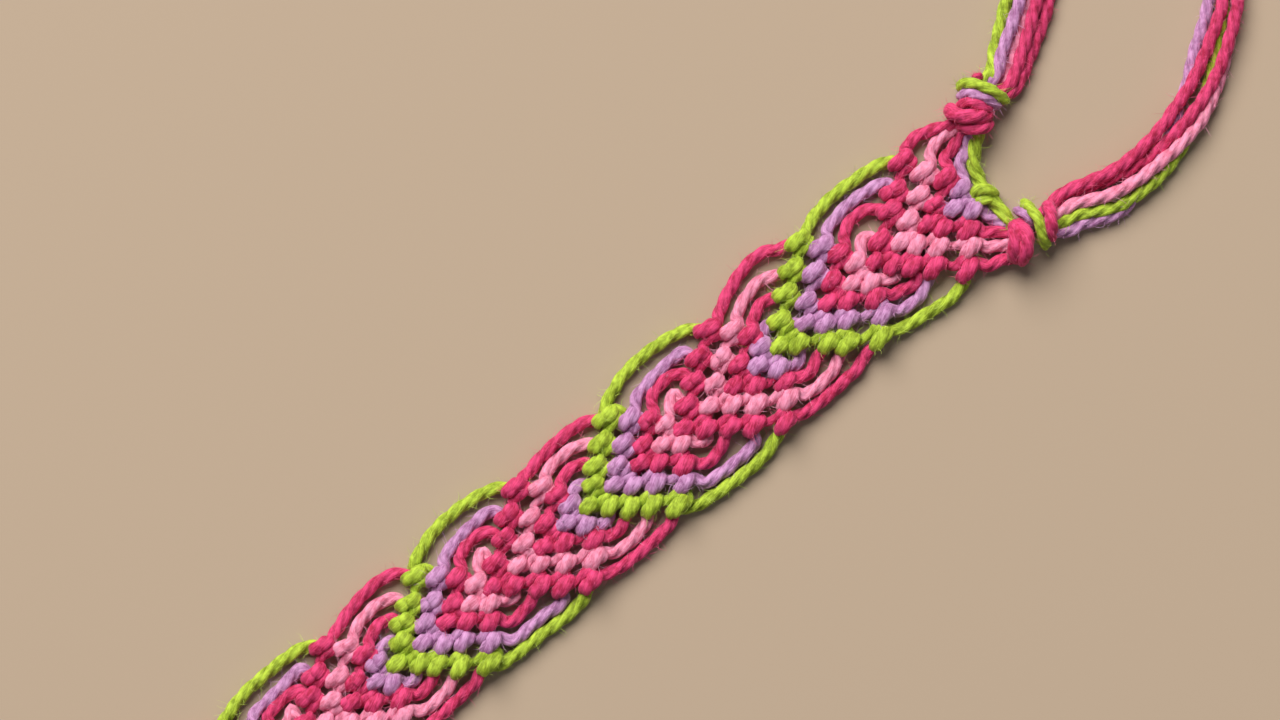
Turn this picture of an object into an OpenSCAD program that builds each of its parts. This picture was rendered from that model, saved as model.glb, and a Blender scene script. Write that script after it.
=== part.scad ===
// Knotted friendship bracelet with a leaf pattern, lying open and flat.
// The band runs along X with its closing loop at +X and its ties at -X, and rests on z = 0.
// The origin is on the underside, below the middle knot of the widest row of the middle leaf.

/* [Leaves] */
// Number of leaves along the band
leaf_count = 7; // [3:1:9]
// Length of the first leaf, from the starting knot to its green tip
first_leaf_l = 20.6; // [18:0.1:24]
// Length of every further leaf, from tip to tip
leaf_l = 20; // [18:0.1:24]
// Half width of the widest row, from the middle line to its last knot
row_half_w = 5; // [4.6:0.1:5.6]
// How far the outermost thread stands outside the widest row's last knot
float_reach = 1.8; // [1.6:0.1:2.6]

/* [Thread] */
// Thickness of one thread
thread_d = 1; // [0.7:0.05:1.1]
// Thickness of the band over its knots
band_t = 2.1; // [1.8:0.1:2.4]
// Gap between neighbouring rows, threads and knots
gap = 0.12; // [0.08:0.01:0.2]

/* [Gathering knots] */
// Radius of the left gathering knot
left_knot_r = 1.85; // [1.5:0.05:2]
// Length of the left gathering knot
left_knot_l = 4.3; // [3.6:0.1:5]
// Radius of the right gathering knot
right_knot_r = 1.65; // [1.4:0.05:1.8]
// Length of the right gathering knot
right_knot_l = 5.7; // [5:0.1:6.4]
// Radius of each knot at the far end
far_knot_r = 1.8; // [1.5:0.05:2]
// Length of each knot at the far end
far_knot_l = 4.4; // [3.6:0.1:5]
// Distance from the last green tip to the knots at the far end
far_run_l = 5.6; // [5:0.1:8]

/* [Loop and ties] */
// Width of the bundle of five strands
bundle_w = 3.6; // [3:0.1:4]
// Thickness of the bundle of five strands
bundle_t = 1.9; // [1.6:0.1:2.2]
// Radius of each tie's end knot
tie_knot_r = 1.8; // [1.5:0.05:2]
// Length of each tie's end knot
tie_knot_l = 4; // [3.4:0.1:5]
// Length of the cut tails behind each tie's end knot
tail_l = 7; // [4:0.5:12]

/* [Hidden] */

GREEN = "#a5cd23";
LILAC = "#aa7db4";
PINK = "#e13c70";
SALMON = "#f096a8";

// The rows of one leaf, from its top to its tip. Columns: thread colour, where the middle knot lies
// (share of the leaf's length), how far out the last knot lies (share of row_half_w), how far back
// it lies (share of the leaf's length) and the number of knots on each side.
COLOUR = 0;
MIDDLE = 1;
OUT = 2;
BACK = 3;
SIDE_KNOTS = 4;
ROWS = [
    ["lilac",  0.113, 0.23, 0.060, 1],
    ["pink",   0.242, 0.48, 0.172, 2],
    ["salmon", 0.368, 0.74, 0.258, 3],
    ["pink",   0.505, 1.00, 0.330, 4],
    ["salmon", 0.618, 0.22, 0.068, 1],
    ["pink",   0.731, 0.47, 0.140, 2],
    ["lilac",  0.865, 0.70, 0.218, 3],
    ["green",  1.000, 0.93, 0.285, 4],
];
WIDEST = 3;
LAST = len(ROWS) - 1;

// The floats of each row, from where they leave the row above to the row's own last knot.
// Columns: share of the leaf's length, share of the half width over the outermost thread.
FLOATS = [
    [[-0.030, 0.29], [0.020, 0.27]],
    [[-0.095, 0.46], [-0.035, 0.54], [0.020, 0.50]],
    [[-0.165, 0.61], [-0.105, 0.715], [-0.030, 0.755], [0.040, 0.69]],
    [[-0.250, 0.80], [-0.190, 0.915], [-0.110, 0.975], [0.000, 0.955], [0.100, 0.86]],
    [],
    [[0.382, 0.475], [0.430, 0.555], [0.490, 0.56], [0.545, 0.48]],
    [[0.303, 0.635], [0.360, 0.735], [0.440, 0.77], [0.525, 0.72], [0.600, 0.61]],
    [[0.215, 0.85], [0.285, 0.955], [0.385, 1.00], [0.500, 0.965], [0.620, 0.86]],
];

// The first leaf's upper rows lean back less, and each is turned about its middle knot by a few
// degrees, so that its right arm passes the right gathering knot.
first_lean = 0.89;
first_turn = -3.1;

// The leaf that holds the origin, and the distance from the starting knot to the origin
middle_leaf = floor((leaf_count + 1) / 2);
function leaf_start(leaf) = leaf == 1 ? 0 : first_leaf_l + (leaf - 2) * leaf_l;
function leaf_length(leaf) = leaf == 1 ? first_leaf_l : leaf_l;
origin_u = leaf_start(middle_leaf) + ROWS[WIDEST][MIDDLE] * leaf_length(middle_leaf);
last_tip_u = leaf_start(leaf_count + 1);
float_half_w = row_half_w + float_reach;

// A knot is a round bead whose underside is cut flat, so its middle lies a little low
bead_flat = 0.1;
bead_r = (band_t + bead_flat) / 2;
bead_z = band_t - bead_r;
core_t = 1.2;
thread_z = (band_t - thread_d) / 2;
thread_turn = 4;
big = 40;

// Places of the knots: distance from the band's start, and across
start_knot_at = [-0.5, 0.2];
start_knot_r = 0.85;
start_knot_l = 1.2;
left_knot_at = [-3.75, -4.6];
right_knot_at = [-0.85, 5.75];
far_knot_across = 4.6;
left_mouth_u = left_knot_at.x + left_knot_l / 2 + gap;
right_mouth_u = right_knot_at.x + right_knot_l / 2 + gap;
right_side_across = right_knot_at.y - right_knot_r - gap;
far_mouth_u = last_tip_u + far_run_l;
far_knot_u = far_mouth_u + gap + far_knot_l / 2;
tie_start_u = far_knot_u + far_knot_l / 2 + gap;

// The threads from the gathering knots to the first leaf. Columns: thread colour, the row whose last
// knot the thread ends in (or START for the starting knot), side (1 right, -1 left), and the points
// that it passes, each a distance from the band's start and a distance across.
START = -1;
START_THREADS = [
    ["green",  START, -1, [[-2.4, -2], [-1.6, -1]]],
    ["lilac",  0, -1, [[left_mouth_u + 0.25, -2.35], [0.1, -2]]],
    ["pink",   1, -1, [[left_mouth_u, -3.5], [0.45, -3.5]]],
    ["salmon", 2, -1, [[left_mouth_u, -4.65], [0.3, -4.7]]],
    ["pink",   3, -1, [[left_mouth_u, -5.8], [0.7, -6.25], [2.5, -6.2]]],
    ["green",  START, 1, [[-1.05, right_side_across], [-0.95, 2.4]]],
    ["lilac",  0, 1, [[0.1, right_side_across], [0.2, 2.7]]],
    ["pink",   1, 1, [[right_mouth_u - 0.9, right_side_across + 0.2], [1.4, 3.4]]],
    ["salmon", 2, 1, [[right_mouth_u + 0.15, right_side_across + 1.25]]],
    ["pink",   3, 1, [[right_mouth_u + 0.1, right_side_across + 2.4], [3.6, 6.4]]],
];

// The threads from the last green row to one far knot. Columns: thread colour, whether the thread
// lies over the others, and its points, from the last tip and across.
END_THREADS = [
    ["lilac",  false, [[-0.8, 1.95], [1.5, 2.6], [far_run_l, 3.45]]],
    ["pink",   false, [[-1.85, 3.05], [1.5, 3.75], [far_run_l, 4.6]]],
    ["salmon", true,  [[-3.2, 4.1], [-1.2, 4.9], [1.5, 5.1], [far_run_l, 5.2]]],
    ["pink",   false, [[-4.9, 5.45], [-2.5, 6.4], [1, 6.3], [far_run_l, 5.75]]],
    ["green",  true,  [[1.8, 0.8], [3.6, 2.4], [far_run_l - 0.25, 4]]],
];
under_z = 0;
over_z = thread_d + gap;

// The rounded discs of each gathering knot, which are its wraps. Columns: place of the disc along
// the knot and half its length (shares of the knot's length), and its radius (share of the knot's).
LEFT_DISCS = [[0.20, 0.30, 1.00], [-0.19, 0.15, 0.78], [-0.36, 0.14, 0.94]];
RIGHT_DISCS = [[0.23, 0.27, 0.96], [-0.12, 0.10, 1.00], [-0.35, 0.15, 0.90]];
FAR_DISCS = [[-0.18, 0.32, 1.00], [0.22, 0.15, 0.80], [0.36, 0.14, 0.94]];
TIE_DISCS = [[-0.16, 0.34, 1.00], [0.28, 0.22, 0.86]];

// Routes in millimetres: distance along the band from the starting knot, across, and height.
// Each tie's route starts at its far knot, and its last point is at its end knot.
bundle_z = 1;
LOOP_ROUTE = [[-6.1, -4.9, bundle_z], [-7.1, -4.95, bundle_z], [-8.8, -6, bundle_z], [-11, -7.5, bundle_z],
              [-12.8, -8.8, bundle_z], [-16.2, -11.2, bundle_z], [-20, -12.9, bundle_z],
              [-24.2, -12.6, bundle_z], [-27.6, -10.2, bundle_z], [-28.8, -6.2, bundle_z],
              [-27.6, -2.2, bundle_z], [-25, 1.3, bundle_z], [-21.7, 3.9, bundle_z],
              [-18.4, 6, bundle_z], [-14.3, 7.4, bundle_z], [-11.3, 7.7, bundle_z],
              [-8.5, 7.3, bundle_z], [-6.5, 6.6, bundle_z], [-4.9, 6, bundle_z], [-3.9, 5.95, bundle_z]];
LEFT_TIE_ROUTE = [[0, 0, bundle_z], [3, 0, bundle_z], [7, -0.8, bundle_z], [11, -1.9, bundle_z],
                  [15, -3.2, bundle_z], [19, -4.2, bundle_z], [23, -4.7, bundle_z], [27, -4.5, bundle_z],
                  [31, -3.8, bundle_z], [35, -2.7, bundle_z], [39, -1.8, bundle_z], [43, -1.3, bundle_z],
                  [47, -1.4, bundle_z], [51, -1.9, bundle_z], [54, -2.4, bundle_z]];
RIGHT_TIE_ROUTE = [[0, 0, bundle_z], [3, 0, bundle_z], [7, 1.1, bundle_z], [11, 2.2, bundle_z],
                   [15, 3, bundle_z], [19, 3.2, bundle_z], [23, 2.7, bundle_z], [27, 1.7, bundle_z],
                   [31, 0.7, bundle_z], [35, 0.1, bundle_z], [39, 0.2, bundle_z], [43, 0.9, bundle_z],
                   [47, 1.9, bundle_z], [51, 2.9, bundle_z], [54, 3.5, bundle_z]];

// A smooth path through a route's points, with steps points on each stretch
function between(a, b, c, d, f) =
    0.5 * (2 * b + (c - a) * f + (2 * a - 5 * b + 4 * c - d) * f * f + (3 * b - a - 3 * c + d) * f * f * f);
function smooth(p, steps) = let (last = len(p) - 1)
    [for (i = [0:last - 1]) for (j = [0:steps - 1])
        between(p[max(i - 1, 0)], p[i], p[i + 1], p[min(i + 2, last)], j / steps), p[last]];
function heading(p, i) = let (v = p[min(i + 1, len(p) - 1)] - p[max(i - 1, 0)]) v / norm(v);
function beside(p, off) = [for (i = [0:len(p) - 1]) let (h = heading(p, i)) p[i] + off * [-h.y, h.x]];
function reversed(p) = [for (i = [len(p) - 1:-1:0]) p[i]];

// Puts children drawn as (distance from the starting knot, across) into the part's own frame
module in_band() {
    translate([origin_u, 0, 0]) rotate([0, 0, 180]) children();
}

// One thread lying flat along points, with its underside at height z
module thread_run(points, z = thread_z) {
    path = smooth(points, thread_turn);
    translate([0, 0, z]) linear_extrude(thread_d)
        polygon(concat(beside(path, thread_d / 2), reversed(beside(path, -thread_d / 2))));
}

// A bundle of strands swept along a route as a flattened tube
module bundle(route, steps = 1, sides = 8) {
    path = smooth(route, steps);
    rings = len(path);
    points = [for (i = [0:rings - 1]) let (h = heading(path, i), side = [-h.y, h.x, 0] / norm([h.x, h.y]))
        for (k = [0:sides - 1]) let (turn = 360 * (k + 0.5) / sides)
            path[i] + side * cos(turn) * bundle_w / 2 + [0, 0, sin(turn) * bundle_t / 2]];
    walls = [for (i = [0:rings - 2]) for (k = [0:sides - 1]) let (n = (k + 1) % sides)
        [i * sides + k, (i + 1) * sides + k, (i + 1) * sides + n, i * sides + n]];
    first_cap = [for (k = [0:sides - 1]) k];
    last_cap = [for (k = [sides - 1:-1:0]) (rings - 1) * sides + k];
    polyhedron(points = points, faces = concat([first_cap], walls, [last_cap]));
}

// A gathering knot of rounded discs along its own axis, lying on the surface
module knot_of_discs(discs, length, radius, angle = 0) {
    translate([0, 0, radius]) rotate([0, 0, angle]) rotate([0, 90, 0]) rotate_extrude($fn = 48)
        intersection() {
            translate([0, -length]) square([radius + 1, 2 * length]);
            union() for (disc = discs) let (half_l = disc[1] * length, r = disc[2] * radius) {
                translate([0, disc[0] * length - half_l]) square([r - half_l, 2 * half_l]);
                translate([r - half_l, disc[0] * length]) circle(r = half_l, $fn = 32);
            }
        }
}

// Slope of a row's arm: how far back it goes for each millimetre out
function is_turned(row, leaf) = leaf == 1 && row <= WIDEST;
function slope(row, leaf) = ROWS[row][BACK] * leaf_length(leaf) * (is_turned(row, leaf) ? first_lean : 1)
    / (ROWS[row][OUT] * row_half_w);
function turn(row, leaf) = is_turned(row, leaf) ? first_turn : 0;
function arm_end(row) = ROWS[row][OUT] * row_half_w * (1 + 0.5 / ROWS[row][SIDE_KNOTS]);
// Free distance between a row and the next one down, square to their arms
function room_below(row, leaf) =
    let (next = (row + 1) % len(ROWS), a = slope(row, leaf), b = slope(next, leaf),
         step = (ROWS[next][MIDDLE] - ROWS[row][MIDDLE] + (next == 0 ? 1 : 0)) * leaf_length(leaf),
         out = min(arm_end(row), arm_end(next)))
    min(step, step - (b - a) * out) * cos(atan(max(a, b)) + abs(turn(row, leaf)));
// Width of a row's arm along the strands that it is knotted on
function arm_w(row, leaf) =
    min(room_below((row + LAST) % len(ROWS), leaf), room_below(row, leaf), band_t * 0.8) - gap;
// The last knot on one side (1 right, -1 left), from the leaf's start and across
function last_knot(row, leaf, side) =
    let (out = ROWS[row][OUT] * row_half_w, back = slope(row, leaf) * out, t = turn(row, leaf))
    [ROWS[row][MIDDLE] * leaf_length(leaf) - back * cos(t) - side * out * sin(t),
     side * out * cos(t) - back * sin(t)];

// One arm of a V row, outwards from its middle knot: a chain of round knots
module arm(row, leaf) {
    m = slope(row, leaf);
    knots = ROWS[row][SIDE_KNOTS];
    step = ROWS[row][OUT] * row_half_w * norm([1, m]) / knots;
    intersection() {
        rotate([0, 0, 90 + atan(m)]) rotate([90, 0, 0])
            linear_extrude(arm_w(row, leaf), center = true) intersection() {
                union() {
                    for (i = [-1:knots]) translate([i * step, bead_z]) circle(r = bead_r, $fn = 32);
                    translate([-step, (band_t - core_t) / 2]) square([(knots + 1) * step, core_t]);
                }
                translate([-big, 0]) square([2 * big, big]);
            }
        translate([-big, 0, -big]) cube(2 * big);
    }
}

// The float that ends in a row's last knot on one side. Below a turned row it starts where that
// row's arm now ends.
module float_thread(row, leaf, side) {
    m = slope(WIDEST, leaf);
    stay = leaf > 1 ? 0 : (m / first_lean - tan(atan(m) + side * first_turn)) * float_half_w;
    points = len(FLOATS[row]);
    if (points > 0) thread_run(concat(
        [for (i = [0:points - 1]) let (p = FLOATS[row][i])
            [p.x * leaf_length(leaf) + stay * p.y * (1 - i / points), side * p.y * float_half_w]],
        [last_knot(row, leaf, side)]));
}

// A V row of one leaf with the floats that lead into it
module course(row, leaf) {
    translate([leaf_start(leaf), 0, 0]) {
        translate([ROWS[row][MIDDLE] * leaf_length(leaf), 0, 0]) rotate([0, 0, turn(row, leaf)])
            for (side = [0, 1]) mirror([0, side, 0]) arm(row, leaf);
        if (leaf > 1 || row > WIDEST) for (side = [1, -1]) float_thread(row, leaf, side);
    }
}

// The threads of one colour between the first leaf and the gathering knots
module start_threads(colour) {
    for (thread = START_THREADS) if (thread[0] == colour) {
        row = thread[1];
        side = thread[2];
        thread_run(concat(thread[3], [row == START ? start_knot_at : last_knot(row, 1, side)]));
    }
}

// The threads of one colour between the last leaf and the far knots
module end_threads(colour) {
    translate([last_tip_u, 0, 0]) for (side = [0, 1]) mirror([0, side, 0])
        for (thread = END_THREADS) if (thread[0] == colour)
            thread_run(thread[2], thread[1] ? over_z : under_z);
}

// All the V rows and loose threads of one colour
module courses(colour) {
    for (leaf = [1:leaf_count]) for (row = [0:LAST]) if (ROWS[row][COLOUR] == colour) course(row, leaf);
    start_threads(colour);
    end_threads(colour);
}

// The single knot that starts the band, its underside cut flat as the others' are
module start_knot() {
    intersection() {
        translate([start_knot_at.x, start_knot_at.y, start_knot_r]) rotate([90, 0, 0])
            cylinder(r = start_knot_r, h = start_knot_l, center = true);
        translate([-big, -big, bead_flat]) cube(2 * big);
    }
}

module green_rows() {
    color(GREEN) in_band() {
        courses("green");
        start_knot();
    }
}

module lilac_rows() {
    color(LILAC) in_band() courses("lilac");
}

module pink_rows() {
    color(PINK) in_band() courses("pink");
}

module salmon_rows() {
    color(SALMON) in_band() courses("salmon");
}

module left_gathering_knot() {
    color(PINK) in_band() translate(left_knot_at) knot_of_discs(LEFT_DISCS, left_knot_l, left_knot_r);
}

module right_gathering_knot() {
    color(PINK) in_band() translate(right_knot_at) knot_of_discs(RIGHT_DISCS, right_knot_l, right_knot_r);
}

module closing_loop() {
    color(PINK) in_band() bundle(LOOP_ROUTE, 2);
}

// The knot of the strands at the far end, on the left (-1) or the right (1)
module far_knot(side) {
    color(PINK) in_band() translate([far_knot_u, side * far_knot_across])
        knot_of_discs(FAR_DISCS, far_knot_l, far_knot_r);
}

module tie(side, route) {
    color(PINK) in_band() translate([tie_start_u, side * far_knot_across, 0]) bundle(route);
}

// The knot at the end of a tie, with the cut tails that fan out behind it
module tie_knot(side, route) {
    last = len(route) - 1;
    way = heading(route, last);
    middle = route[last] + way * (gap + tie_knot_l / 2);
    color(PINK) in_band() translate([tie_start_u + middle.x, side * far_knot_across + middle.y, 0])
        rotate([0, 0, atan2(way.y, way.x)]) {
            knot_of_discs(TIE_DISCS, tie_knot_l, tie_knot_r);
            linear_extrude(thread_d) polygon([[0, -bundle_w * 0.3], [tie_knot_l / 2 + tail_l, -bundle_w * 0.6],
                                              [tie_knot_l / 2 + tail_l, bundle_w * 0.6], [0, bundle_w * 0.3]]);
        }
}

module left_far_knot() {
    far_knot(-1);
}

module right_far_knot() {
    far_knot(1);
}

module left_tie() {
    tie(-1, LEFT_TIE_ROUTE);
}

module right_tie() {
    tie(1, RIGHT_TIE_ROUTE);
}

module left_tie_knot() {
    tie_knot(-1, LEFT_TIE_ROUTE);
}

module right_tie_knot() {
    tie_knot(1, RIGHT_TIE_ROUTE);
}

green_rows();
lilac_rows();
pink_rows();
salmon_rows();
left_gathering_knot();
right_gathering_knot();
closing_loop();
left_far_knot();
right_far_knot();
left_tie();
right_tie();
left_tie_knot();
right_tie_knot();
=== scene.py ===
"""Knotted friendship bracelet: every thread is a plied yarn that follows its own way through the knots."""
import math

import bpy
import numpy as np
from mathutils import Matrix, Vector

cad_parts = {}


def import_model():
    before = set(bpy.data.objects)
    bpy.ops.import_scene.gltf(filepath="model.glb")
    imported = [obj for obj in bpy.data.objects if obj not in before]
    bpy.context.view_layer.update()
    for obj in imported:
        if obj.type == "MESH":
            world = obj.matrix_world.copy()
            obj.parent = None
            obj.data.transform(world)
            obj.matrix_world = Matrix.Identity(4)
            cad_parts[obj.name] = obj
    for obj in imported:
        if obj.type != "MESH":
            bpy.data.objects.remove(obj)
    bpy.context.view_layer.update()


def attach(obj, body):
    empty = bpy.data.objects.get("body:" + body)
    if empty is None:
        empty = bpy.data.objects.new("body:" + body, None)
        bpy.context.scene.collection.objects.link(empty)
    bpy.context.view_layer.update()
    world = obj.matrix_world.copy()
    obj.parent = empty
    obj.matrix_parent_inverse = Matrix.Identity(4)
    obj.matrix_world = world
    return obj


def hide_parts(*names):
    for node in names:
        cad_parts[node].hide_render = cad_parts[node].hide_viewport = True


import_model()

# Lengths are in millimetres until a mesh is made. Band coordinates are the distance along the band
# from its start, the distance across it (right is positive) and the height over the floor.
MM = 0.001
ORIGIN_ALONG = 70.7
LEFT, RIGHT = -1, 1
SIDE_NAMES = {LEFT: "left", RIGHT: "right"}
LEAF_COUNT = 7
FIRST_LEAF_L = 20.6
LEAF_L = 20.0
MIDDLE_Z = 1.05

# Yarn: its radius, its plies, and the length of one turn of them where the yarn is free and inside knots
YARN_R = 0.54
PLIES = 3
LAY = 5.0
KNOT_LAY = 4.2
# The cross-section's points as shares of the radius, and how much of those valleys shows for each lay
LOBE_SHAPE = np.array([0.60, 0.88, 1.0, 1.0, 0.88] * PLIES)
SIDES = len(LOBE_SHAPE)
RELIEF = {LAY: 0.85, KNOT_LAY: 0.6}
# The distance between the mesh's rings, and the one in the bundles of the loop and the ties. The smooth
# curve behind the rings is worked out at points closer by FINE_SHARE.
RING_STEP = 0.18
BUNDLE_RING_STEP = 0.26
FINE_SHARE = 0.4
# Loose fibres: how many grow all round each millimetre, the range of their length, and their width with its
# taper from root to tip
FUZZ_PER_MM = 13
FUZZ_L = (0.4, 1.2)
FUZZ_W = 0.026
FUZZ_TAPER = np.array([1, 0.9, 0.6, 0.15])
FUZZ_PARTS = len(FUZZ_TAPER) - 1
FUZZ_POINTS = 2 * len(FUZZ_TAPER)
# How far they point outwards and lean along the yarn, and how much they stray and curl
FUZZ_OUT = (0.25, 1.0)
FUZZ_LEAN = 1.2
FUZZ_STRAY = 0.35
FUZZ_CURL = 0.55
# Their roots lie this share of the way out to the yarn's skin. Those whose root is lower than FUZZ_FROM_Z
# against the yarn's middle are left out, and none reaches under FUZZ_LOWEST.
FUZZ_ROOT = 0.9
FUZZ_FROM_Z = -0.1
FUZZ_LOWEST = 0.03
# Each yarn shows its own part of a fibre pattern that is this long
PATTERN_L = 50
rng = np.random.default_rng(11)


def world(points):
    """Band coordinates in millimetres to the part's frame in metres."""
    p = np.asarray(points, float)
    return np.stack([ORIGIN_ALONG - p[..., 0], -p[..., 1], p[..., 2]], -1) * MM


def unit(v):
    """Vectors with their length made 1."""
    return v / np.maximum(np.linalg.norm(v, axis=-1, keepdims=True), 1e-9)


# Camera and light

# The photograph looks straight down and is this wide at the floor. Its directions and the middle of its
# view are in the part's frame.
PHOTO_W_MM = 103.2
IMAGE_RIGHT = Vector((0.7706, -0.6373, 0))
IMAGE_UP = Vector((0.6373, 0.7706, 0))
VIEW_CENTRE = Vector((40.9, 6.4, 0)) * MM
CAMERA_HEIGHT = 0.5
# Each light: its place from the view's middle (right, up, height) and its size in metres, power and colour
LIGHTS = {
    "key": ((-0.36, 0.90, 1.04), 1.20, 33.6, (1, 0.98, 0.95)),
    "fill": ((0.5, -0.3, 0.9), 0.9, 0.5, (0.95, 0.97, 1)),
}
ROOM_COLOUR = (0.9, 0.93, 1, 1)
ROOM_STRENGTH = 0.12
FLOOR_COLOUR = (0.45, 0.342, 0.245, 1)
FLOOR_HALF_W = 1.5


def add_camera():
    """The camera over the middle of what the photograph shows."""
    data = bpy.data.cameras.new("camera")
    data.sensor_width = 36
    data.lens = data.sensor_width * CAMERA_HEIGHT / (PHOTO_W_MM * MM)
    data.clip_start = 0.01
    camera = bpy.data.objects.new("camera", data)
    bpy.context.scene.collection.objects.link(camera)
    turn = Matrix((IMAGE_RIGHT, IMAGE_UP, (0, 0, 1))).transposed().to_4x4()
    camera.matrix_world = Matrix.Translation(VIEW_CENTRE + Vector((0, 0, CAMERA_HEIGHT))) @ turn
    bpy.context.scene.camera = camera


def add_light(name, place, size, power, colour):
    """A round area light that aims at the middle of the view."""
    right, up, height = place
    data = bpy.data.lights.new(name, "AREA")
    data.shape = "DISK"
    data.size = size
    data.energy = power
    data.color = colour
    light = bpy.data.objects.new(name, data)
    light.location = VIEW_CENTRE + IMAGE_RIGHT * right + IMAGE_UP * up + Vector((0, 0, height))
    light.rotation_euler = (VIEW_CENTRE - light.location).to_track_quat("-Z", "Y").to_euler()
    bpy.context.scene.collection.objects.link(light)


def add_surroundings():
    """The lights, the even light of the room and the plain floor."""
    for name, values in LIGHTS.items():
        add_light(name, *values)
    room = bpy.data.worlds.new("room")
    room.use_nodes = True
    room.node_tree.nodes["Background"].inputs["Color"].default_value = ROOM_COLOUR
    room.node_tree.nodes["Background"].inputs["Strength"].default_value = ROOM_STRENGTH
    bpy.context.scene.world = room
    bpy.context.scene.view_settings.view_transform = "Standard"
    mesh = bpy.data.meshes.new("floor")
    half = FLOOR_HALF_W
    mesh.from_pydata([(-half, -half, 0), (half, -half, 0), (half, half, 0), (-half, half, 0)],
                     [], [(0, 1, 2, 3)])
    floor = bpy.data.objects.new("floor", mesh)
    bpy.context.scene.collection.objects.link(floor)
    paper = bpy.data.materials.new("plain_floor")
    paper.use_nodes = True
    shader = paper.node_tree.nodes["Principled BSDF"]
    shader.inputs["Base Color"].default_value = FLOOR_COLOUR
    shader.inputs["Roughness"].default_value = 0.9
    mesh.materials.append(paper)


# Materials

# Each thread's light and deep colour
COLOURS = {
    "green": ((0.51, 0.69, 0.055), (0.22, 0.30, 0.012)),
    "lilac": ((0.66, 0.33, 0.60), (0.36, 0.13, 0.30)),
    "pink": ((0.79, 0.062, 0.205), (0.42, 0.012, 0.06)),
    "salmon": ((0.95, 0.345, 0.52), (0.68, 0.15, 0.25)),
}
# Where the pattern turns from the deep colour to the light one
DEEP_BELOW, LIGHT_ABOVE = 0.38, 0.58
# The fibres' pattern: turns round the yarn for each millimetre, and its scale round and along the yarn
FIBRE_SLOPE = 0.1
FIBRES_ROUND = 30.0
FIBRES_ALONG = 1.8
# Painted shade in the creases between the plies: how strong it is, how dark as a share of the deep colour,
# and where it begins between a ply's top (0) and its edge (0.5)
PAINTED_CREASE_SHADE = 0.4
PAINTED_CREASE_DARKNESS = 0.35
PAINTED_CREASE_FROM = 0.26
# The sheen and the loose fibres are paler than the light colour
SHEEN_ADDED = 0.35
FUZZ_SHARE = 0.88
FUZZ_ADDED = 0.08


def yarn_material(name):
    """Cotton: colour that varies along the yarn, painted shade in the creases between its plies, fine fibres
    and sheen.
    """
    light, deep = COLOURS[name]
    material = bpy.data.materials.new(name + "_cotton")
    material.use_nodes = True
    tree = material.node_tree
    shader = tree.nodes["Principled BSDF"]

    def node(kind, *inputs, **values):
        """Makes a node, sets its named values and links or sets its first inputs."""
        made = tree.nodes.new(kind)
        for key, value in values.items():
            if key in made.inputs:
                made.inputs[key].default_value = value
            else:
                setattr(made, key, value)
        for socket, given in zip(made.inputs, inputs):
            if isinstance(given, bpy.types.NodeSocket):
                tree.links.new(given, socket)
            else:
                socket.default_value = given
        return made.outputs[0]

    def maths(operation, *inputs):
        """A math node."""
        return node("ShaderNodeMath", *inputs, operation=operation)

    place = node("ShaderNodeSeparateXYZ", node("ShaderNodeUVMap", uv_map="yarn")).node
    along, around = place.outputs["X"], place.outputs["Y"]
    slope = maths("MULTIPLY", along, FIBRE_SLOPE)
    slant = maths("MULTIPLY", maths("SUBTRACT", around, slope), FIBRES_ROUND)
    fibre_place = node("ShaderNodeCombineXYZ", maths("MULTIPLY", along, FIBRES_ALONG), slant)
    fibres = node("ShaderNodeTexNoise", fibre_place, noise_dimensions="2D", Scale=1, Detail=3, Roughness=0.65)
    where = tree.nodes.new("ShaderNodeTexCoord").outputs["Object"]
    patches = node("ShaderNodeTexNoise", where, noise_dimensions="3D", Scale=1300, Detail=2, Roughness=0.6)
    both = maths("MULTIPLY", maths("ADD", fibres, patches), 0.5)
    ramp = tree.nodes.new("ShaderNodeValToRGB")
    tree.links.new(both, ramp.inputs["Fac"])
    ramp.color_ramp.elements[0].position = DEEP_BELOW
    ramp.color_ramp.elements[0].color = (*deep, 1)
    ramp.color_ramp.elements[1].position = LIGHT_ABOVE
    ramp.color_ramp.elements[1].color = (*light, 1)
    # Painted shade: the colour darkens towards the creases between the plies, more where the relief is deep
    ply_share = maths("FRACT", maths("MULTIPLY", around, PLIES))
    from_top = maths("ABSOLUTE", maths("SUBTRACT", ply_share, 0.5))
    painted_crease = tree.nodes.new("ShaderNodeMapRange")
    tree.links.new(from_top, painted_crease.inputs["Value"])
    painted_crease.inputs["From Min"].default_value = PAINTED_CREASE_FROM
    painted_crease.inputs["From Max"].default_value = 0.50
    painted_crease.inputs["To Max"].default_value = PAINTED_CREASE_SHADE
    relief = tree.nodes.new("ShaderNodeAttribute")
    relief.attribute_name = "relief"
    mixed = tree.nodes.new("ShaderNodeMixRGB")
    tree.links.new(maths("MULTIPLY", painted_crease.outputs["Result"], relief.outputs["Fac"]), mixed.inputs["Fac"])
    tree.links.new(ramp.outputs["Color"], mixed.inputs["Color1"])
    mixed.inputs["Color2"].default_value = (*(PAINTED_CREASE_DARKNESS * c for c in deep), 1)
    tree.links.new(mixed.outputs["Color"], shader.inputs["Base Color"])
    bump = tree.nodes.new("ShaderNodeBump")
    bump.inputs["Strength"].default_value = 0.7
    bump.inputs["Distance"].default_value = 0.0001
    tree.links.new(fibres, bump.inputs["Height"])
    tree.links.new(bump.outputs["Normal"], shader.inputs["Normal"])
    shader.inputs["Roughness"].default_value = 0.68
    shader.inputs["Specular IOR Level"].default_value = 0.3
    shader.inputs["Sheen Weight"].default_value = 0.3
    shader.inputs["Sheen Roughness"].default_value = 0.35
    shader.inputs["Sheen Tint"].default_value = (*(min(1, SHEEN_ADDED + c) for c in light), 1)
    return material


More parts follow.
